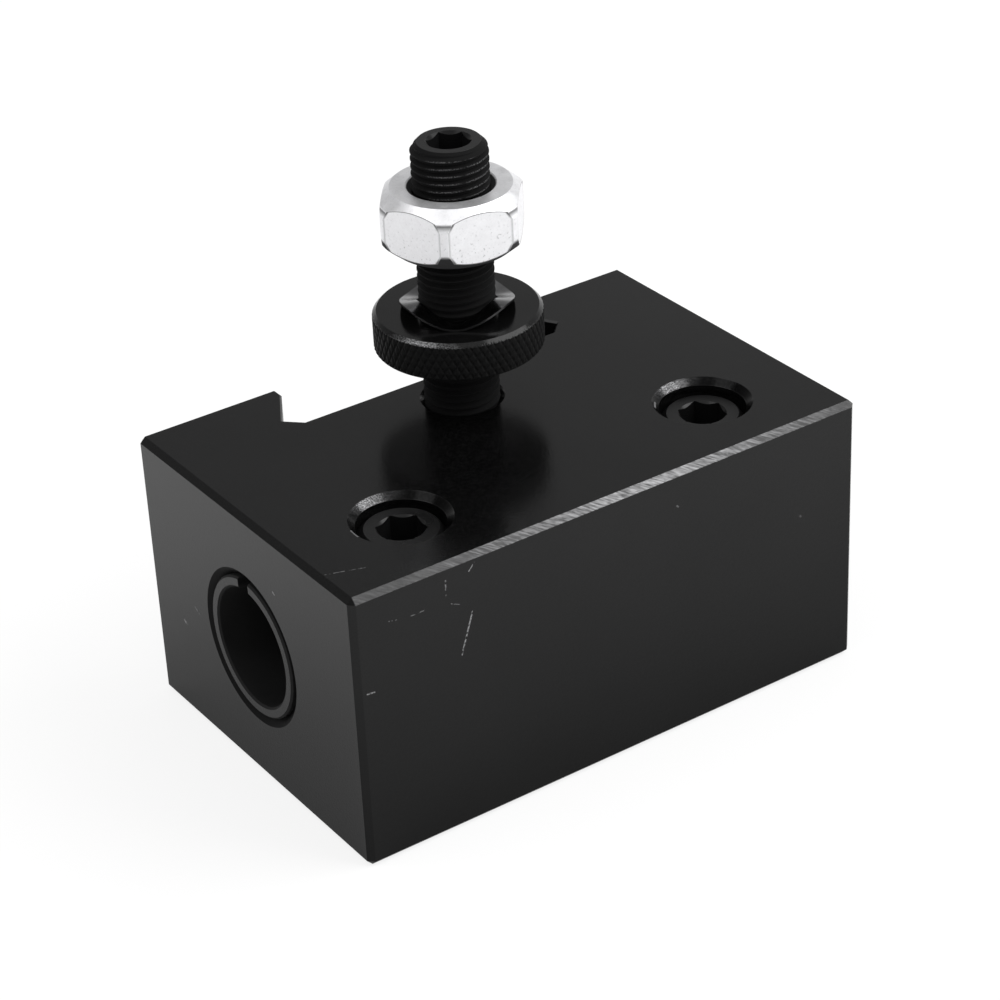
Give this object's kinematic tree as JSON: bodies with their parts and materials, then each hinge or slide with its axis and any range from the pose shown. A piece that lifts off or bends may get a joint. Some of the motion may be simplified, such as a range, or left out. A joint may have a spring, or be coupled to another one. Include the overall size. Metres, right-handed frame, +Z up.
{
  "type": "quick change tool holder",
  "caption": "Block with a dovetail groove in its back, a bore with a split sleeve for a boring bar, clamp screws, and a height stud with a knurled wheel, a wave washer and a lock nut.",
  "frame": {"origin": "middle of the block's underside", "axes": "+X along the bore, +Y to the back with the dovetail groove, +Z up along the height stud"},
  "size_m": [0.0762, 0.0502, 0.0738],
  "materials": {
    "block_black": "satin black oxide",
    "sleeve_black": "satin black oxide",
    "screw_black": "black oxide",
    "stud_black": "black oxide",
    "wheel_black": "glossy black oxide",
    "spring_steel": "polished",
    "zinc_plate": "bright zinc plate"
  },
  "bodies": {
    "holder": {"holder_block": "block_black", "height_stud": "stud_black"},
    "sleeve": {"split_sleeve": "sleeve_black"},
    "left_screw": {"clamp_screw_left": "screw_black"},
    "right_screw": {"clamp_screw_right": "screw_black"},
    "wheel": {"height_wheel": "wheel_black", "wave_washer": "spring_steel"},
    "nut": {"lock_nut": "zinc_plate"}
  },
  "joints": [
    {"name": "sleeve_slide", "type": "slide", "parent": "holder", "child": "sleeve", "axis": [1, 0, 0], "range_m": [-0.0762, 0.0762]},
    {"name": "left_screw_travel", "type": "slide", "parent": "holder", "child": "left_screw", "axis": [0, 0, 1], "range_m": [0, 0.01016]},
    {"name": "right_screw_travel", "type": "slide", "parent": "holder", "child": "right_screw", "axis": [0, 0, 1], "range_m": [0, 0.01016]},
    {"name": "wheel_travel", "type": "slide", "parent": "holder", "child": "wheel", "axis": [0, 0, 1], "range_m": [-0.0078, 0.003]},
    {"name": "nut_travel", "type": "slide", "parent": "wheel", "child": "nut", "axis": [0, 0, 1], "range_m": [-0.007, 0.0028]}
  ]
}
